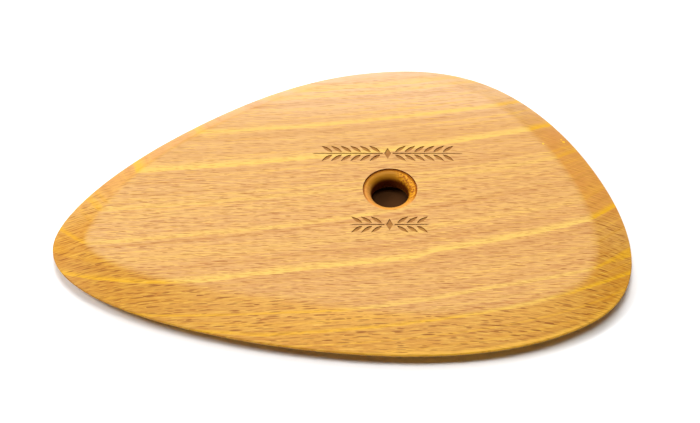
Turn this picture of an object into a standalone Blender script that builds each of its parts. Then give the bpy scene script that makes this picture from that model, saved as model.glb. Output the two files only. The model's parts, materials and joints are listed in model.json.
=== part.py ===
"""Wooden potter's rib: one solid beech plate with a rounded three-cornered
outline, both faces flat, a wide soft bevel all the way round on each face, a
thin rounded working edge and one rounded-over hole.

The plate is one piece of wood, so it is one node. Metres, +Z up, lying on its
back face, origin at the middle of the footprint.
"""
import math

import bmesh
import bpy
from mathutils import Vector
from mathutils.geometry import interpolate_bezier

MM = 0.001

# ---- driving dimensions -------------------------------------------------
THICKNESS = 8.0 * MM
EDGE_RADIUS = 0.55 * MM         # radius of the rounded working edge
BLEND = 0.18                    # softened part of the bevel, as a share of its width

BORE_RADIUS = 6.0 * MM
HOLE_ROUNDOVER = 2.75 * MM      # convex rounding round the hole, on each face
HOLE_SHOULDER = 0.45 * MM       # short straight step above the rounding
HOLE_X = 15.4 * MM
HOLE_Y = 4.1 * MM

# outline seen from above, running anticlockwise, in millimetres:
# x, y, heading in degrees, handle behind, handle ahead, bevel width here
OUTLINE = [
    (16.9, 59.8, -176.5, 24.0, 17.0, 6.0),
    (-55.4, 29.1, -143.0, 42.0, 24.0, 5.8),
    (-91.2, -15.7, -94.5, 12.0, 25.5, 11.0),
    (-20.6, -55.9, -10.0, 14.5, 20.0, 15.8),
    (77.1, -47.0, 32.0, 36.0, 33.5, 12.0),
    (74.8, 27.4, 123.0, 16.5, 28.5, 9.7),
]

SPAN_STEPS = 20                 # stations along each span of the outline
BLEND_STEPS = 3
EDGE_STEPS = 4
HOLE_STEPS = 48
ARC_STEPS = 5

BEECH = (0.72, 0.42, 0.17, 1.0)


def start_empty():
    for item in list(bpy.data.objects):
        bpy.data.objects.remove(item, do_unlink=True)


def new_collection(name):
    coll = bpy.data.collections.new(name)
    bpy.context.scene.collection.children.link(coll)
    return coll


def wood_material():
    mat = bpy.data.materials.new("oiled_beech")
    mat.use_nodes = True
    shader = mat.node_tree.nodes["Principled BSDF"]
    shader.inputs["Base Color"].default_value = BEECH
    shader.inputs["Roughness"].default_value = 0.45
    shader.inputs["Metallic"].default_value = 0.0
    return mat


def stations():
    """Points round the outline, each with its outward direction and bevel width."""
    points = []
    widths = []
    for i, knot in enumerate(OUTLINE):
        x0, y0, head0, _, ahead, wide0 = knot
        x1, y1, head1, behind, _, wide1 = OUTLINE[(i + 1) % len(OUTLINE)]
        start = Vector((x0, y0)) * MM
        end = Vector((x1, y1)) * MM
        turn0 = math.radians(head0)
        turn1 = math.radians(head1)
        leave = start + Vector((math.cos(turn0), math.sin(turn0))) * ahead * MM
        arrive = end - Vector((math.cos(turn1), math.sin(turn1))) * behind * MM
        span = interpolate_bezier(start, leave, arrive, end, SPAN_STEPS + 1)
        for k in range(SPAN_STEPS):
            ease = k / SPAN_STEPS
            ease = ease * ease * (3.0 - 2.0 * ease)
            points.append(Vector((span[k][0], span[k][1])))
            widths.append((wide0 + (wide1 - wide0) * ease) * MM)
    found = []
    for i, point in enumerate(points):
        along = points[(i + 1) % len(points)] - points[i - 1]
        along.normalize()
        found.append((point, Vector((along.y, -along.x)), widths[i]))
    return found


def bevel_profile(width):
    """Section of one face at the edge: (distance in from the edge, height above
    the middle plane), from the flat face out to the edge."""
    half = THICKNESS / 2
    reach = math.hypot(half, width - EDGE_RADIUS)
    slope = math.acos(EDGE_RADIUS / reach) - math.atan2(width - EDGE_RADIUS, half)
    blend = BLEND * width
    section = []
    for k in range(BLEND_STEPS + 1):
        t = k / BLEND_STEPS
        back = (1.0 - t) ** 2 * blend
        out = t ** 2 * blend
        inset = width + back - out * math.cos(slope)
        section.append((inset, half - out * math.sin(slope)))
    for k in range(EDGE_STEPS + 1):
        angle = slope + (math.pi / 2 - slope) * k / EDGE_STEPS
        inset = EDGE_RADIUS * (1.0 - math.sin(angle))
        section.append((inset, EDGE_RADIUS * math.cos(angle)))
    return section


def front_half():
    """The half of the plate above its middle plane, open at the middle plane."""
    mesh = bpy.data.meshes.new("rib_body")
    bm = bmesh.new()
    loops = []
    for point, outward, width in stations():
        row = []
        for inset, height in bevel_profile(width):
            spot = point - outward * inset
            row.append(bm.verts.new((spot.x, spot.y, height)))
        loops.append(row)
    bm.faces.new([row[0] for row in loops])
    for i, row in enumerate(loops):
        after = loops[(i + 1) % len(loops)]
        for k in range(len(row) - 1):
            bm.faces.new((row[k], row[k + 1], after[k + 1], after[k]))
    bmesh.ops.recalc_face_normals(bm, faces=bm.faces)
    bm.to_mesh(mesh)
    bm.free()
    return mesh


def hole_cutter(tools):
    """Turned shape of the hole: a bore whose two mouths are rounded over."""
    rim = BORE_RADIUS + HOLE_ROUNDOVER
    top = THICKNESS / 2
    profile = [(0.0, top + 1.0 * MM), (rim, top + 1.0 * MM)]
    for k in range(ARC_STEPS + 1):
        angle = math.pi / 2 * k / ARC_STEPS
        x = rim - HOLE_ROUNDOVER * math.sin(angle)
        z = top - HOLE_SHOULDER - HOLE_ROUNDOVER * (1.0 - math.cos(angle))
        profile.append((x, z))
    profile += [(x, -z) for x, z in reversed(profile)]
    mesh = bpy.data.meshes.new("hole_cutter")
    edges = [(i, i + 1) for i in range(len(profile) - 1)]
    mesh.from_pydata([(x, 0.0, z) for x, z in profile], edges, [])
    cutter = bpy.data.objects.new("hole_cutter", mesh)
    cutter.location = (HOLE_X, HOLE_Y, THICKNESS / 2)
    cutter.hide_render = True
    cutter.display_type = "WIRE"
    tools.objects.link(cutter)
    turn = cutter.modifiers.new("turn", "SCREW")
    turn.axis = "Z"
    turn.angle = math.tau
    turn.steps = HOLE_STEPS
    turn.render_steps = HOLE_STEPS
    turn.use_merge_vertices = True
    turn.merge_threshold = 0.00001
    return cutter


def build():
    start_empty()
    parts = new_collection("potters_rib")
    tools = new_collection("cutters")
    body = bpy.data.objects.new("rib_body", front_half())
    body.location = (0.0, 0.0, THICKNESS / 2)
    body.data.materials.append(wood_material())
    parts.objects.link(body)
    back = body.modifiers.new("back_face", "MIRROR")
    back.use_axis = (False, False, True)
    back.use_clip = True
    back.use_mirror_merge = True
    back.merge_threshold = 0.00001
    hole = body.modifiers.new("hole", "BOOLEAN")
    hole.operation = "DIFFERENCE"
    hole.solver = "EXACT"
    hole.object = hole_cutter(tools)


build()
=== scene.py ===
"""Looks of the wooden potter's rib: oiled beech with its grain running through
the solid, an engraved ornament burnt into the front face, soft studio light."""
import json
import math

import bmesh
import bpy
from mathutils import Matrix, Vector
from mathutils.geometry import interpolate_bezier

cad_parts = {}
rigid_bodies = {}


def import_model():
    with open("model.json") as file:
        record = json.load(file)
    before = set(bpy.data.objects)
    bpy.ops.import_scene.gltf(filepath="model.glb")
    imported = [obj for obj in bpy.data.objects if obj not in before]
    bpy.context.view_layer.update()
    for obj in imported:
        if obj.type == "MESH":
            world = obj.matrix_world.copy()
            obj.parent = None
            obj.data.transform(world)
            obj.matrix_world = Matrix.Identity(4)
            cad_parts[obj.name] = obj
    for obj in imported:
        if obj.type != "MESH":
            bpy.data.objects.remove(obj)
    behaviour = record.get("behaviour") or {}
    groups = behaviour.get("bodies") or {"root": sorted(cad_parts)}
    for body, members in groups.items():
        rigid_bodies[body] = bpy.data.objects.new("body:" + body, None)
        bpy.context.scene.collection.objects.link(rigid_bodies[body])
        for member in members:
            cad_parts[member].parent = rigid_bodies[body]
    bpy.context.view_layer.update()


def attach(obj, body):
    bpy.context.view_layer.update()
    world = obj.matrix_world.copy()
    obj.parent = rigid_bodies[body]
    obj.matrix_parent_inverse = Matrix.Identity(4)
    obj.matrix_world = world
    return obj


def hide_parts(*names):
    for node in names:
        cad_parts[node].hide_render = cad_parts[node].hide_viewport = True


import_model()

MM = 0.001

# ---- the plate, as in the CAD -------------------------------------------
THICKNESS = 8.0 * MM
EDGE_RADIUS = 0.55 * MM
BLEND = 0.18
BORE_RADIUS = 6.0 * MM
HOLE_ROUNDOVER = 2.75 * MM
HOLE_SHOULDER = 0.45 * MM
HOLE_X = 15.4 * MM
HOLE_Y = 4.1 * MM
EDGE_TRIM = 0.05 * MM           # keeps the finer outline inside the faceted CAD one

# x, y, heading in degrees, handle behind, handle ahead, bevel width, all in mm
OUTLINE = [
    (16.9, 59.8, -176.5, 24.0, 17.0, 6.0),
    (-55.4, 29.1, -143.0, 42.0, 24.0, 5.8),
    (-91.2, -15.7, -94.5, 12.0, 25.5, 11.0),
    (-20.6, -55.9, -10.0, 14.5, 20.0, 15.8),
    (77.1, -47.0, 32.0, 36.0, 33.5, 12.0),
    (74.8, 27.4, 123.0, 16.5, 28.5, 9.7),
]
SPAN_STEPS = 56
BLEND_STEPS = 8
EDGE_STEPS = 8
HOLE_STEPS = 128
ARC_STEPS = 16
MERGE = 0.01 * MM               # points closer than this are joined
CUT_CLEARANCE = 1.0 * MM        # how far a cutting shape stands proud of the plate

# ---- engraved ornament --------------------------------------------------
ENGRAVE_DEPTH = 0.3 * MM
# middle x and y, half length, all in mm
BANDS = [(14.8, 19.4, 24.5), (15.1, -10.8, 12.7)]
LEAF_PITCH = 3.1
LEAF_LENGTH = 4.5
LEAF_WIDTH = 1.25
LEAF_TURN = math.radians(38.0)
LEAF_STEPS = 7
STALK_HALF = 0.22               # half width of the stem
STALK_START = 1.6               # where the stem begins, out from the lozenge
STALK_GAP = 0.55                # from the stem's middle line to a leaf's foot
FIRST_LEAF = 2.4
LOZENGE = (1.1, 2.4)            # half length, half height


def clear_start():
    for item in list(bpy.data.objects):
        if item.type in {"CAMERA", "LIGHT"}:
            bpy.data.objects.remove(item, do_unlink=True)


# ========================================================================
# geometry
# ========================================================================
def stations():
    """Points round the outline, each with its outward direction and bevel width."""
    points = []
    widths = []
    for i, knot in enumerate(OUTLINE):
        x0, y0, head0, _, ahead, wide0 = knot
        x1, y1, head1, behind, _, wide1 = OUTLINE[(i + 1) % len(OUTLINE)]
        start = Vector((x0, y0)) * MM
        end = Vector((x1, y1)) * MM
        turn0 = math.radians(head0)
        turn1 = math.radians(head1)
        leave = start + Vector((math.cos(turn0), math.sin(turn0))) * ahead * MM
        arrive = end - Vector((math.cos(turn1), math.sin(turn1))) * behind * MM
        span = interpolate_bezier(start, leave, arrive, end, SPAN_STEPS + 1)
        for k in range(SPAN_STEPS):
            ease = k / SPAN_STEPS
            ease = ease * ease * (3.0 - 2.0 * ease)
            points.append(Vector((span[k][0], span[k][1])))
            widths.append((wide0 + (wide1 - wide0) * ease) * MM)
    found = []
    for i, point in enumerate(points):
        along = points[(i + 1) % len(points)] - points[i - 1]
        along.normalize()
        found.append((point, Vector((along.y, -along.x)), widths[i]))
    return found


def bevel_profile(width):
    """Section of one face at the edge: (distance in from the edge, height above
    the middle plane), from the flat face out to the edge."""
    half = THICKNESS / 2
    reach = math.hypot(half, width - EDGE_RADIUS)
    slope = math.acos(EDGE_RADIUS / reach) - math.atan2(width - EDGE_RADIUS, half)
    blend = BLEND * width
    section = []
    for k in range(BLEND_STEPS + 1):
        t = k / BLEND_STEPS
        back = (1.0 - t) ** 2 * blend
        out = t ** 2 * blend
        inset = width + back - out * math.cos(slope)
        section.append((inset, half - out * math.sin(slope)))
    for k in range(EDGE_STEPS + 1):
        angle = slope + (math.pi / 2 - slope) * k / EDGE_STEPS
        inset = EDGE_RADIUS * (1.0 - math.sin(angle))
        section.append((inset, EDGE_RADIUS * math.cos(angle)))
    return [(inset + EDGE_TRIM, height) for inset, height in section]


def half_plate():
    mesh = bpy.data.meshes.new("rib_wood")
    bm = bmesh.new()
    loops = []
    for point, outward, width in stations():
        row = []
        for inset, height in bevel_profile(width):
            spot = point - outward * inset
            row.append(bm.verts.new((spot.x, spot.y, height)))
        loops.append(row)
    bm.faces.new([row[0] for row in loops])
    for i, row in enumerate(loops):
        after = loops[(i + 1) % len(loops)]
        for k in range(len(row) - 1):
            bm.faces.new((row[k], row[k + 1], after[k + 1], after[k]))
    bmesh.ops.recalc_face_normals(bm, faces=bm.faces)
    bm.to_mesh(mesh)
    bm.free()
    return mesh


def hidden(name, mesh):
    tool = bpy.data.objects.new(name, mesh)
    tool.hide_render = True
    bpy.context.scene.collection.objects.link(tool)
    return tool


def hole_cutter(material):
    rim = BORE_RADIUS + HOLE_ROUNDOVER
    top = THICKNESS / 2
    profile = [(0.0, top + CUT_CLEARANCE), (rim, top + CUT_CLEARANCE)]
    for k in range(ARC_STEPS + 1):
        angle = math.pi / 2 * k / ARC_STEPS
        x = rim - HOLE_ROUNDOVER * math.sin(angle)
        z = top - HOLE_SHOULDER - HOLE_ROUNDOVER * (1.0 - math.cos(angle))
        profile.append((x, z))
    profile += [(x, -z) for x, z in reversed(profile)]
    mesh = bpy.data.meshes.new("hole_tool")
    edges = [(i, i + 1) for i in range(len(profile) - 1)]
    mesh.from_pydata([(x, 0.0, z) for x, z in profile], edges, [])
    mesh.materials.append(material)
    cutter = hidden("hole_tool", mesh)
    cutter.location = (HOLE_X, HOLE_Y, THICKNESS / 2)
    turn = cutter.modifiers.new("turn", "SCREW")
    turn.axis = "Z"
    turn.angle = math.tau
    turn.steps = HOLE_STEPS
    turn.render_steps = HOLE_STEPS
    turn.use_merge_vertices = True
    turn.merge_threshold = MERGE
    return cutter


def leaf(length, width):
    """Outline of a slender leaf along +X from the origin, anticlockwise."""
    lower = []
    for k in range(LEAF_STEPS + 1):
        t = k / LEAF_STEPS
        lower.append((length * t, -width / 2 * math.sin(math.pi * t ** 0.85)))
    upper = [(x, -y) for x, y in reversed(lower[1:-1])]
    return lower + upper


def spray(length):
    """Outlines of one half of a band: a stem with paired leaves, growing
    along +X from the origin."""
    shapes = [[
        (STALK_START, -STALK_HALF), (length - 1.0, -STALK_HALF * 0.6), (length, 0.0),
        (length - 1.0, STALK_HALF * 0.6), (STALK_START, STALK_HALF),
    ]]
    for k in range(int((length - 3.0) / LEAF_PITCH)):
        base = FIRST_LEAF + k * LEAF_PITCH
        for side in (1, -1):
            turn = LEAF_TURN * side
            placed = []
            for x, y in leaf(LEAF_LENGTH, LEAF_WIDTH):
                px = base + x * math.cos(turn) - y * math.sin(turn)
                py = side * STALK_GAP + x * math.sin(turn) + y * math.cos(turn)
                placed.append((px, py))
            shapes.append(placed)
    return shapes


def lozenge(x, y, half_long, half_wide):
    return [(x - half_long, y), (x, y - half_wide), (x + half_long, y), (x, y + half_wide)]


def ornament():
    """All outlines of the two bands, in mm, anticlockwise."""
    shapes = []
    for centre_x, centre_y, half in BANDS:
        shapes.append(lozenge(centre_x, centre_y, *LOZENGE))
        for flip in (1, -1):
            for outline in spray(half):
                placed = [(centre_x + flip * x, centre_y + y) for x, y in outline]
                shapes.append(placed if flip > 0 else list(reversed(placed)))
    return shapes


def ornament_cutter(material):
    bm = bmesh.new()
    top = THICKNESS + CUT_CLEARANCE / 2
    bottom = THICKNESS - ENGRAVE_DEPTH
    for outline in ornament():
        low = [bm.verts.new((x * MM, y * MM, bottom)) for x, y in outline]
        high = [bm.verts.new((x * MM, y * MM, top)) for x, y in outline]
        bm.faces.new(list(reversed(low)))
        bm.faces.new(high)
        count = len(outline)
        for k in range(count):
            after = (k + 1) % count
            bm.faces.new((low[k], low[after], high[after], high[k]))
    bmesh.ops.recalc_face_normals(bm, faces=bm.faces)
    mesh = bpy.data.meshes.new("ornament_tool")
    bm.to_mesh(mesh)
    bm.free()
    mesh.materials.append(material)
    return hidden("ornament_tool", mesh)


def sharpen(mesh, degrees=32.0):
    """Shades smooth, except across edges that turn more than this."""
    bm = bmesh.new()
    bm.from_mesh(mesh)
    for face in bm.faces:
        face.smooth = True
    for edge in bm.edges:
        edge.smooth = edge.calc_face_angle(0.0) < math.radians(degrees)
    bm.to_mesh(mesh)
    bm.free()


def make_plate(wood, hole, burnt):
    body = bpy.data.objects.new("rib_wood", half_plate())
    body.location = (0.0, 0.0, THICKNESS / 2)
    bpy.context.scene.collection.objects.link(body)
    for material in (wood, hole, burnt):
        body.data.materials.append(material)
    back = body.modifiers.new("back", "MIRROR")
    back.use_axis = (False, False, True)
    back.use_mirror_merge = True
    back.merge_threshold = MERGE
    tools = [hole_cutter(hole), ornament_cutter(burnt)]
    for tool in tools:
        cut = body.modifiers.new(tool.name, "BOOLEAN")
        cut.operation = "DIFFERENCE"
        cut.solver = "EXACT"
        cut.object = tool
        cut.material_mode = "TRANSFER"
    bpy.context.view_layer.update()
    depsgraph = bpy.context.evaluated_depsgraph_get()
    finished = bpy.data.meshes.new_from_object(body.evaluated_get(depsgraph))
    finished.transform(body.matrix_world)
    body.modifiers.clear()
    body.matrix_world = Matrix.Identity(4)
    body.data = finished
    for tool in tools:
        bpy.data.objects.remove(tool, do_unlink=True)
    sharpen(finished)
    return body


# ========================================================================
# materials
# ========================================================================
def colour(red, green, blue):
    """A colour given as 0 to 255 display values, as linear RGBA."""
    linear = []
    for value in (red, green, blue):
        v = value / 255.0
        linear.append(v / 12.92 if v <= 0.04045 else ((v + 0.055) / 1.055) ** 2.4)
    return (*linear, 1.0)


class Graph:
    """Adds shader nodes and joins them."""

    def __init__(self, material):
        material.use_nodes = True
        self.tree = material.node_tree
        self.shader = self.tree.nodes["Principled BSDF"]

    def feed(self, socket, value):
        if isinstance(value, bpy.types.NodeSocket):
            self.tree.links.new(value, socket)
        else:
            socket.default_value = value

    def math(self, operation, *values):
        node = self.tree.nodes.new("ShaderNodeMath")
        node.operation = operation
        for socket, value in zip(node.inputs, values):
            self.feed(socket, value)
        return node.outputs[0]

    def total(self, *values):
        result = values[0]
        for value in values[1:]:
            result = self.math("ADD", result, value)
        return result

    def product(self, *values):
        result = values[0]
        for value in values[1:]:
            result = self.math("MULTIPLY", result, value)
        return result

    def length(self, x, y):
        return self.math("SQRT", self.total(self.product(x, x), self.product(y, y)))

    def step(self, value, low, high, start=0.0, end=1.0):
        """Smooth change from start to end as value goes from low to high."""
        node = self.tree.nodes.new("ShaderNodeMapRange")
        node.interpolation_type = "SMOOTHSTEP"
        for socket, number in zip(node.inputs, (value, low, high, start, end)):
            self.feed(socket, number)
        return node.outputs[0]

    def between(self, amount, start, end):
        """Smooth change from start to end as amount goes from 0 to 1."""
        return self.step(amount, 0.0, 1.0, start, end)

    def window(self, value, ranges):
        """1 where value is past all of the ranges, fading over each of them."""
        return self.product(*(self.step(value, low, high) for low, high in ranges))

    def point(self, x, y, z):
        node = self.tree.nodes.new("ShaderNodeCombineXYZ")
        for socket, value in zip(node.inputs, (x, y, z)):
            self.feed(socket, value)
        return node.outputs[0]

    def scaled(self, parts, rates):
        """A point whose coordinates are the parts times the rates."""
        return self.point(*(self.product(part, rate) for part, rate in zip(parts, rates)))

    def split(self, vector):
        node = self.tree.nodes.new("ShaderNodeSeparateXYZ")
        self.feed(node.inputs[0], vector)
        return node.outputs

    def place(self):
        """The object's own coordinates in metres, as one vector."""
        return self.tree.nodes.new("ShaderNodeTexCoord").outputs["Object"]

    def in_mm(self, value, start=0.0):
        """Metres as millimetres, counted from start."""
        return self.math("MULTIPLY_ADD", value, 1.0 / MM, -start)

    def noise(self, vector, detail=2.0, roughness=0.5):
        """Noise about zero, roughly from -1 to 1."""
        node = self.tree.nodes.new("ShaderNodeTexNoise")
        self.feed(node.inputs["Vector"], vector)
        node.inputs["Scale"].default_value = 1.0
        node.inputs["Detail"].default_value = detail
        node.inputs["Roughness"].default_value = roughness
        return self.math("MULTIPLY_ADD", node.outputs["Fac"], 3.0, -1.5)

    def mix(self, amount, first, second, blend="MIX"):
        node = self.tree.nodes.new("ShaderNodeMix")
        node.data_type = "RGBA"
        node.blend_type = blend
        self.feed(node.inputs[0], amount)
        self.feed(node.inputs[6], first)
        self.feed(node.inputs[7], second)
        return node.outputs[2]

    def lay(self, base, layers):
        """Lays each colour over those before it, as strongly as its mask says."""
        for mask, tone in layers:
            base = self.mix(mask, base, tone)
        return base

    def bump(self, height, strength, distance):
        node = self.tree.nodes.new("ShaderNodeBump")
        node.inputs["Strength"].default_value = strength
        node.inputs["Distance"].default_value = distance
        self.feed(node.inputs["Height"], height)
        self.feed(self.shader.inputs["Normal"], node.outputs["Normal"])


# ---- the board: where its rings, lines and flecks lie, in mm -------------
# where each growth ring starts across the board, how strongly its pale early
# wood shows, and how far it fades
RINGS = [
    (-84.0, 0.25, 3.0), (-74.6, 0.25, 2.5), (-67.4, 0.45, 2.8), (-57.0, 0.95, 3.2),
    (-52.0, 0.3, 2.4), (-47.2, 0.8, 2.6), (-39.0, 0.15, 3.5), (-28.1, 1.0, 4.2),
    (-18.4, 0.25, 6.0), (-1.4, 0.2, 3.0), (2.7, 0.6, 3.0), (5.7, 0.35, 2.0),
    (17.6, 0.95, 4.0), (31.8, 0.8, 2.8), (39.4, 0.2, 2.0), (44.5, 0.45, 3.0),
    (47.4, 0.5, 4.0), (58.0, 0.7, 4.0),
]
# a ring that fades out towards the right
SHORT_RING = (-9.6, 0.65, 2.6)
# dark lines of late wood: position, strength and half width
LINES = [
    (-77.2, 0.9, 2.0), (-67.7, 0.5, 1.2), (-58.3, 0.6, 1.4), (-54.4, 0.4, 1.8),
    (-42.8, 0.4, 1.6), (-34.3, 0.2, 1.6), (-30.2, 0.7, 2.4), (-21.4, 0.7, 1.8),
    (-10.7, 0.85, 1.1), (-3.2, 0.2, 1.5), (8.9, 0.6, 1.3), (16.3, 0.4, 1.8),
    (23.0, 0.4, 1.6), (25.0, 0.3, 1.2), (30.0, 0.5, 1.8), (42.8, 0.5, 1.4),
]
# how far the rings bend along the board: factors of x, x^2, x^3 and x*y
BEND = (0.1465, 0.00072, 0.0000034, -0.00085)
# how far they move sideways per mm of depth: a constant, factors of x and y
DIP = (2.4, -0.0066, -0.022)
# places where they leave that course: by how much, within which ranges of x,
# and within which ranges across the rings
WAVES = [
    (2.6, [(40.0, 90.0)], [(-56.0, -51.0), (-38.0, -44.0)]),
    (1.3, [(-8.0, 22.0), (30.0, 23.0)], [(-38.0, -31.0), (-2.0, -14.0)]),
    (-2.5, [(-20.0, 35.0)], [(-15.0, -11.0), (-1.0, -6.0)]),
]
# the same for a ring that dips more steeply: by how much per mm of depth
STEEP = (-1.1, [(-45.0, -20.0)], [(-67.0, -62.0), (-48.0, -53.0)])
# streaks along the fibres: rate along and across, seed, detail, roughness
STREAKS = {
    "wander": (0.035, 0.05, 7.0, 2.0, 0.5),
    "broad": (0.012, 0.07, 3.0, 2.0, 0.5),
    "growth": (0.014, 0.7, 5.0, 3.0, 0.6),
    "fibre": (0.08, 1.8, 1.0, 3.0, 0.6),
    "fine": (0.2, 2.5, 9.0, 3.0, 0.7),
}
# ray flecks: cell length and width, half length, half width, share, seed
FLECKS = {
    "large": (5.4, 1.5, 1.9, 0.17, 0.72, 3.3),
    "middle": (4.2, 1.05, 1.6, 0.13, 0.72, 17.1),
    "small": (3.2, 0.7, 1.3, 0.1, 0.68, 11.9),
    "pale": (6.1, 1.0, 2.8, 0.16, 0.75, 29.3),
}
# areas of the bevel with a tone of their own, on the right and low stretches partly
# painted shade: the ranges of x and of t (as in grain) over which each one sets in
ZONES = {
    "right": ((56.0, 70.0), (-12.0, 0.0)),
    "up_left": ((0.0, -50.0), (-4.0, 12.0)),
    "low_left": ((-30.0, -75.0), (2.0, -16.0)),
    "low_right": ((60.0, 82.0), (-8.0, -24.0)),
}
# tiny bright specks of resin on the front face: x, y, radius
SPECKS = [(65.5, 23.8, 0.45), (72.5, 26.9, 0.6), (71.8, 27.9, 0.4)]
# depth of the middle plane
MIDDLE = THICKNESS / MM / 2

# ---- colours ------------------------------------------------------------
GOLDEN = colour(206, 149, 84)
ROSY = colour(208, 156, 98)
FRONT_AMBER = colour(220, 156, 60)
BROW_GOLD = colour(204, 134, 0)
LOW_LEFT_BROWN = colour(192, 122, 14)
UP_LEFT_TAN = colour(212, 138, 56)
LOW_RIGHT_BROWN = colour(184, 114, 14)
RIGHT_ORANGE = colour(208, 134, 60)
FAR_PAINTED_SHEEN = colour(226, 182, 152)
GROWTH_PALE = colour(228, 174, 74)
GROWTH_DARK = colour(184, 114, 32)
FIBRE_PALE = colour(232, 180, 86)
FIBRE_DARK = colour(178, 104, 18)
RAY_PALE = colour(232, 180, 80)
EARLY_WOOD_FLAT = colour(230, 186, 86)
EARLY_WOOD_BEVEL = colour(232, 172, 10)
LATE_WOOD = colour(178, 112, 38)
FINE_PALE = colour(234, 184, 90)
FINE_DARK = colour(174, 98, 16)
RIM_PAINTED_HIGHLIGHT = colour(250, 190, 70)
SMALL_FLECK = colour(160, 84, 12)
MIDDLE_FLECK = colour(148, 78, 0)
LARGE_FLECK = colour(132, 64, 0)
FLAT_TINT_WITH_SHEEN = colour(240, 243, 226)
LOW_BEVEL_TINT = colour(240, 243, 214)
LEFT_TIP_TINT = colour(255, 255, 220)
RESIN = colour(250, 196, 30)
FLARE = colour(212, 138, 58)
FLARE_OLIVE = colour(172, 112, 4)
TORN_PALE = colour(248, 172, 24)
TORN_DARK = colour(132, 56, 0)
SHOULDER_SCORCH_AND_SHADE = colour(118, 48, 0)
BORE_PAINTED_SHADE = colour(96, 36, 2)
SCORCH = colour(134, 80, 0)
FLOOR_PALE = colour(248, 248, 248)
FLOOR_WHITE = colour(250, 250, 250)
FLOOR_PAINTED_SHADE = colour(70, 41, 16)


def streaks(graph, name, along, over):
    rate_along, rate_over, seed, detail, roughness = STREAKS[name]
    place = graph.point(graph.product(along, rate_along), graph.product(over, rate_over), seed)
    return graph.noise(place, detail, roughness)


def zone(graph, name, x, tangent):
    along, over = ZONES[name]
    return graph.product(graph.step(x, *along), graph.step(tangent, *over))


def grain(graph):
    """The board's own coordinates in mm: x along the fibres, s across the
    growth rings (measured on the front face), t across the rays."""
    x, y, z = graph.split(graph.place())
    x = graph.in_mm(x)
    y = graph.in_mm(y)
    depth = graph.in_mm(z, THICKNESS / MM)
    constant, per_x, per_y = DIP
    dip = graph.total(
        constant, graph.product(x, per_x), graph.product(y, per_y),
        graph.step(x, -5.0, -65.0, 0.0, -0.5),
    )
    first, second, third, mixed = BEND
    bend = graph.total(
        graph.product(x, first), graph.product(x, x, second),
        graph.product(x, x, x, third), graph.product(x, y, mixed),
    )
    slow = graph.noise(graph.scaled((x, y, depth), (0.022, 0.06, 0.06)))
    ragged = graph.noise(graph.scaled((x, y, depth), (0.13, 1.3, 1.3)), 3.0)
    course = graph.math("SUBTRACT", graph.total(y, graph.product(dip, depth)), bend)
    across = graph.total(course, graph.product(slow, 0.5), graph.product(ragged, 0.35))
    for shift, along, over in WAVES:
        wave = graph.product(graph.window(x, along), graph.window(course, over), shift)
        across = graph.total(across, wave)
    shift, along, over = STEEP
    within = graph.product(graph.window(x, along), graph.window(course, over))
    above = graph.math("MAXIMUM", depth, -MIDDLE)
    across = graph.total(across, graph.product(above, within, shift))
    wander = streaks(graph, "wander", x, y)
    tangent = graph.total(
        graph.product(y, 0.91), graph.product(depth, -0.41), graph.product(wander, 0.5),
    )
    return x, across, tangent, depth


def growth_rings(graph, x, across):
    """How much pale early wood and how much dark late wood shows."""
    light = 0.0
    for position, strength, fade in [*RINGS, SHORT_RING]:
        offset = graph.math("SUBTRACT", across, position)
        early = graph.window(offset, [(-0.1, 0.9), (fade, 0.9)])
        early = graph.product(early, strength)
        if position == SHORT_RING[0]:
            early = graph.product(early, graph.step(x, 40.0, 10.0, 0.2, 1.0))
        light = graph.math("ADD", light, early)
    dark = 0.0
    for position, strength, reach in LINES:
        offset = graph.math("ABSOLUTE", graph.math("SUBTRACT", across, position))
        line = graph.product(graph.step(offset, reach, 0.0), strength)
        dark = graph.math("ADD", dark, line)
    return light, dark


def flecks(graph, name, x, tangent):
    """Short dashes along the fibres, where rays meet the surface."""
    pitch_x, pitch_t, half_length, half_width, kept, seed = FLECKS[name]
    u = graph.math("MULTIPLY_ADD", x, 1.0 / pitch_x, seed)
    v = graph.math("MULTIPLY_ADD", tangent, 1.0 / pitch_t, seed * 1.7)
    cell = graph.tree.nodes.new("ShaderNodeTexVoronoi")
    cell.voronoi_dimensions = "2D"
    graph.feed(cell.inputs["Vector"], graph.point(u, v, 0.0))
    cell.inputs["Scale"].default_value = 1.0
    centre_u, centre_v, _ = graph.split(cell.outputs["Position"])
    chance, size, tone = graph.split(cell.outputs["Color"])
    share = half_length / pitch_x
    reach = graph.math("MULTIPLY_ADD", size, 1.1 * share, 0.45 * share)
    du = graph.math("DIVIDE", graph.math("SUBTRACT", u, centre_u), reach)
    dv = graph.product(graph.math("SUBTRACT", v, centre_v), pitch_t / half_width)
    distance = graph.total(graph.product(du, du), graph.product(dv, dv))
    mark = graph.step(distance, 1.35, 0.25)
    present = graph.step(chance, kept + 0.04, kept - 0.04)
    weight = graph.math("MULTIPLY_ADD", tone, 0.55, 0.45)
    return graph.product(mark, present, weight)


def specks(graph):
    x, y, z = graph.split(graph.place())
    found = 0.0
    for spot_x, spot_y, radius in SPECKS:
        away = graph.length(graph.in_mm(x, spot_x), graph.in_mm(y, spot_y))
        found = graph.math("MAXIMUM", found, graph.step(away, radius, radius * 0.5))
    return graph.product(found, graph.step(z, 4.0 * MM, 4.5 * MM))


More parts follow.
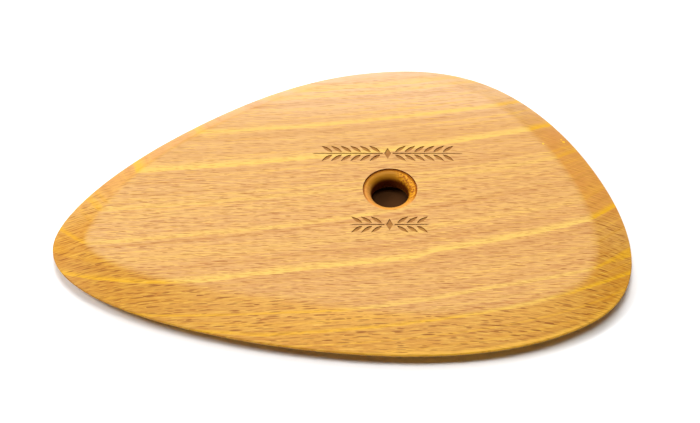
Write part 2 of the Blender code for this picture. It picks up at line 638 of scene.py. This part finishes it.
def wood_colour(graph):
    """Colour of the solid board, and the patterns that roughness and bump share."""
    x, across, tangent, depth = grain(graph)
    light, dark = growth_rings(graph, x, across)

    # areas
    side = graph.math("ABSOLUTE", graph.math("ADD", depth, MIDDLE))
    bevel = graph.step(side, MIDDLE, MIDDLE - 0.5)
    right = zone(graph, "right", x, tangent)
    up_left = zone(graph, "up_left", x, tangent)
    low_left = zone(graph, "low_left", x, tangent)
    low_right = zone(graph, "low_right", x, tangent)
    # painted sheen: the bevel along the back edge is paled as if reflecting a bright backdrop
    far = graph.step(tangent, 24.0, 50.0)
    front = graph.product(bevel, graph.step(tangent, -12.0, -34.0))
    brow = graph.product(front, graph.step(side, 3.0, 1.0), graph.step(x, -60.0, -20.0))
    # painted highlight: a bright line along the rounded front edge
    rim = graph.product(
        graph.step(side, 1.0, 0.5), graph.step(tangent, -26.0, -40.0),
        graph.step(x, -10.0, 30.0),
    )
    low_bevel = graph.product(bevel, graph.step(tangent, 6.0, -12.0))

    # patterns, calmer at the back and on two stretches of the bevel
    calm = graph.product(
        graph.step(tangent, 0.0, 32.0, 1.0, 0.45),
        graph.between(graph.product(bevel, right), 1.0, 0.45),
        graph.between(graph.product(bevel, up_left), 1.0, 0.5),
    )
    broad = streaks(graph, "broad", x, across)
    growth = streaks(graph, "growth", x, across)
    fibre = graph.product(streaks(graph, "fibre", x, tangent), calm)
    fine = graph.product(streaks(graph, "fine", x, tangent), calm)
    large, middle, small, pale = (
        flecks(graph, name, x, tangent) for name in ("large", "middle", "small", "pale")
    )
    # flecks are sharper on the bevel, weaker at the rim and on early wood
    shown = graph.product(
        graph.between(bevel, 0.6, 0.9), graph.step(side, 0.4, 1.2, 0.3, 1.0),
        graph.step(light, 0.1, 0.8, 1.0, 0.5),
    )

    # the base turns from golden to paler rosy towards the back and the left: partly the wood's
    # own tone, partly painted sheen
    left = graph.total(
        graph.product(x, -0.009), graph.product(tangent, 0.014), graph.product(broad, 0.4),
    )
    base = graph.mix(graph.step(left, -0.6, 0.8), GOLDEN, ROSY)
    base = graph.lay(base, [
        # the front, right, low left and low right bevels get deeper tones: partly the cut end
        # grain's own, partly painted shade where they face away from the lights
        (graph.product(front, graph.step(x, -60.0, 10.0, 0.35, 0.85)), FRONT_AMBER),
        (graph.product(brow, 0.45), BROW_GOLD),
        (graph.product(bevel, low_left, 0.66), LOW_LEFT_BROWN),
        (graph.product(bevel, up_left, 0.5), UP_LEFT_TAN),
        (graph.product(bevel, low_right, 0.4), LOW_RIGHT_BROWN),
        (graph.product(bevel, right, 0.7), RIGHT_ORANGE),
        (graph.product(far, graph.between(bevel, 0.85, 0.65)), FAR_PAINTED_SHEEN),
        (graph.step(growth, 0.0, 1.0, 0.0, 0.8), GROWTH_PALE),
        (graph.step(growth, 0.0, -1.0, 0.0, 0.7), GROWTH_DARK),
        (graph.step(fibre, 0.0, 1.2, 0.0, 0.9), FIBRE_PALE),
        (graph.step(fibre, 0.0, -1.2, 0.0, 0.9), FIBRE_DARK),
        (graph.product(pale, 0.55), RAY_PALE),
        (
            graph.product(light, graph.step(fibre, -1.0, 0.6, 0.7, 1.0), 0.9),
            graph.mix(bevel, EARLY_WOOD_FLAT, EARLY_WOOD_BEVEL),
        ),
        (graph.product(dark, 0.4), LATE_WOOD),
        (graph.step(fine, 0.0, 1.0, 0.0, 0.95), FINE_PALE),
        (graph.step(fine, 0.0, -1.0, 0.0, 0.95), FINE_DARK),
        # painted highlight on the front edge
        (graph.product(rim, 0.6), RIM_PAINTED_HIGHLIGHT),
        (graph.product(small, calm, graph.between(bevel, 0.6, 0.4)), SMALL_FLECK),
        (graph.product(middle, calm, shown), MIDDLE_FLECK),
        (graph.product(large, calm, shown), LARGE_FLECK),
    ])
    # a faint yellow tint over the board; the flat face keeps more blue than the low bevels,
    # which is painted sheen, and the low bevel at the left tip is deepened further, partly
    # painted shade
    base = graph.mix(1.0, base, graph.mix(low_bevel, FLAT_TINT_WITH_SHEEN, LOW_BEVEL_TINT), "MULTIPLY")
    near_tip = graph.product(bevel, low_left, graph.step(x, -86.0, -76.0))
    base = graph.mix(near_tip, base, LEFT_TIP_TINT, "MULTIPLY")
    marks = graph.total(large, graph.product(middle, 0.8), graph.product(small, 0.5))
    return base, fibre, marks, depth


def wood_material():
    material = bpy.data.materials.new("oiled_beech")
    graph = Graph(material)
    base, fibre, marks, _ = wood_colour(graph)
    base = graph.mix(graph.product(specks(graph), 0.85), base, RESIN)
    graph.feed(graph.shader.inputs["Base Color"], base)
    rough = graph.total(0.42, graph.product(fibre, 0.04), graph.product(marks, 0.1))
    graph.feed(graph.shader.inputs["Roughness"], rough)
    graph.shader.inputs["Specular IOR Level"].default_value = 0.2
    height = graph.total(graph.product(fibre, 0.3), graph.product(marks, -0.8))
    graph.bump(height, 0.4, 0.02 * MM)
    return material


def hole_material():
    """Turned by the cutter: a shoulder at each face darkened partly by scorch and
    partly by painted shade, a warm flare with painted shade towards its far side
    and a torn patch on its right, and a bore darkened by painted shade."""
    material = bpy.data.materials.new("cut_beech")
    graph = Graph(material)
    base, fibre, _, depth = wood_colour(graph)
    x, y, _ = graph.split(graph.place())
    x = graph.in_mm(x, HOLE_X / MM)
    y = graph.in_mm(y, HOLE_Y / MM)
    side = graph.math("ABSOLUTE", graph.math("ADD", depth, MIDDLE))
    turned = graph.noise(graph.scaled((x, y, side), (0.1, 0.1, 4.5)))
    torn = graph.noise(graph.scaled((x, y, side), (1.6, 1.6, 1.0)), 3.0, 0.6)
    patch = graph.product(graph.step(x, 1.0, 4.5), graph.step(y, -6.0, -2.0))
    # the shoulder's dark tone is partly scorch, partly painted shade, and left off the near
    # side of the hole
    shoulder = graph.product(graph.step(side, 3.4, 3.6), graph.step(y, -7.0, 0.0))
    base = graph.lay(base, [
        (graph.step(turned, -0.6, 0.6, 0.4, 0.85), FLARE),
        # painted shade: darker olive towards the far side of the flare
        (graph.step(y, -1.0, 5.0, 0.0, 0.85), FLARE_OLIVE),
        (graph.product(patch, 0.85), TORN_PALE),
        (graph.product(patch, graph.step(torn, -0.7, 0.5, 0.0, 0.9)), TORN_DARK),
        (graph.product(shoulder, 0.97), SHOULDER_SCORCH_AND_SHADE),
        # painted shade deep in the bore
        (graph.product(graph.step(side, 2.7, 0.8), 0.95), BORE_PAINTED_SHADE),
    ])
    graph.feed(graph.shader.inputs["Base Color"], base)
    rough = graph.step(shoulder, 0.0, 0.3, 0.5, 0.95)
    graph.feed(graph.shader.inputs["Roughness"], rough)
    graph.shader.inputs["Specular IOR Level"].default_value = 0.15
    height = graph.total(
        graph.product(turned, 0.6), graph.product(fibre, 0.3), graph.product(patch, torn, 2.0),
    )
    graph.bump(height, 0.6, 0.08 * MM)
    return material


def burnt_material():
    material = bpy.data.materials.new("burnt_beech")
    graph = Graph(material)
    base, fibre, _, _ = wood_colour(graph)
    base = graph.mix(graph.step(fibre, -1.0, 1.0, 0.9, 0.65), base, SCORCH)
    graph.feed(graph.shader.inputs["Base Color"], base)
    rough = graph.total(0.66, graph.product(fibre, 0.05))
    graph.feed(graph.shader.inputs["Roughness"], rough)
    graph.shader.inputs["Specular IOR Level"].default_value = 0.3
    graph.bump(fibre, 0.4, 0.03 * MM)
    return material


def floor_material():
    """Nearly white, with a painted shade spot only within the hole's mouth, which it
    closes from below."""
    material = bpy.data.materials.new("pale_floor")
    graph = Graph(material)
    place = graph.place()
    x, y, _ = graph.split(place)
    node = graph.tree.nodes.new("ShaderNodeVectorMath")
    node.operation = "SCALE"
    graph.feed(node.inputs[0], place)
    node.inputs["Scale"].default_value = 6.0
    cloud = graph.noise(node.outputs[0])
    base = graph.mix(graph.step(cloud, -1.0, 1.0), FLOOR_PALE, FLOOR_WHITE)
    away = graph.length(
        graph.math("SUBTRACT", x, HOLE_X), graph.math("SUBTRACT", y, HOLE_Y),
    )
    # painted shade: a dark spot on the floor right under the hole
    base = graph.mix(graph.step(away, 8.2 * MM, 7.6 * MM), base, FLOOR_PAINTED_SHADE)
    graph.feed(graph.shader.inputs["Base Color"], base)
    graph.shader.inputs["Roughness"].default_value = 0.9
    graph.shader.inputs["Specular IOR Level"].default_value = 0.1
    return material


# ========================================================================
# stage
# ========================================================================
FLOOR_HALF = 3.0
LIGHT_DISTANCE = 1.2
LIGHT_DEPTH = 0.4
# direction (azimuth, elevation), width and power of each soft box
LIGHTS = [
    ("back_sweep", -4.0, 47.0, 1.1, 9.6),
    ("back_high", 0.0, 64.0, 0.35, 3.3),
    ("overhead", 0.0, 89.0, 0.4, 5.0),
    ("left_box", -90.0, 46.0, 0.4, 8.6),
    ("right_box", 90.0, 72.0, 0.4, 2.6),
    ("front_fill", 180.0, 40.0, 0.5, 0.2),
]
CAMERA_ELEVATION = math.radians(49.5)
CAMERA_DISTANCE = 0.75
CAMERA_TARGET = (2.6 * MM, -5.4 * MM, THICKNESS)
CAMERA_LENS = 121.5
CAMERA_SENSOR = 36.0


def add_floor():
    mesh = bpy.data.meshes.new("floor")
    half = FLOOR_HALF
    corners = [(-half, -half, 0.0), (half, -half, 0.0), (half, half, 0.0), (-half, half, 0.0)]
    mesh.from_pydata(corners, [], [(0, 1, 2, 3)])
    mesh.materials.append(floor_material())
    floor = bpy.data.objects.new("floor", mesh)
    bpy.context.scene.collection.objects.link(floor)


def aim(item, place, target):
    item.location = place
    direction = Vector(target) - Vector(place)
    item.rotation_euler = direction.to_track_quat("-Z", "Y").to_euler()


def add_light(name, place, width, power):
    """A white soft box aimed at the plate."""
    data = bpy.data.lights.new(name, "AREA")
    data.shape = "RECTANGLE"
    data.size = width
    data.size_y = LIGHT_DEPTH
    data.energy = power
    lamp = bpy.data.objects.new(name, data)
    bpy.context.scene.collection.objects.link(lamp)
    aim(lamp, place, (0.0, 0.0, 0.0))


def around(azimuth, elevation, distance):
    """A place seen from the origin: azimuth 0 is +Y, 90 is +X."""
    turn = math.radians(azimuth)
    rise = math.radians(elevation)
    flat = distance * math.cos(rise)
    return (flat * math.sin(turn), flat * math.cos(turn), distance * math.sin(rise))


def add_lights():
    for name, azimuth, elevation, width, power in LIGHTS:
        add_light(name, around(azimuth, elevation, LIGHT_DISTANCE), width, power)
    world = bpy.data.worlds.new("studio")
    world.use_nodes = True
    world.node_tree.nodes["Background"].inputs["Strength"].default_value = 0.0
    bpy.context.scene.world = world


def add_camera():
    x, y, z = CAMERA_TARGET
    place = (
        x,
        y - CAMERA_DISTANCE * math.cos(CAMERA_ELEVATION),
        z + CAMERA_DISTANCE * math.sin(CAMERA_ELEVATION),
    )
    data = bpy.data.cameras.new("camera")
    data.sensor_width = CAMERA_SENSOR
    data.lens = CAMERA_LENS
    data.clip_start = 0.01
    camera = bpy.data.objects.new("camera", data)
    bpy.context.scene.collection.objects.link(camera)
    aim(camera, place, CAMERA_TARGET)
    bpy.context.scene.camera = camera


def main():
    clear_start()
    body = make_plate(wood_material(), hole_material(), burnt_material())
    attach(body, "root")
    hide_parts("rib_body")
    add_floor()
    add_lights()
    add_camera()
    bpy.context.scene.view_settings.view_transform = "Standard"


main()
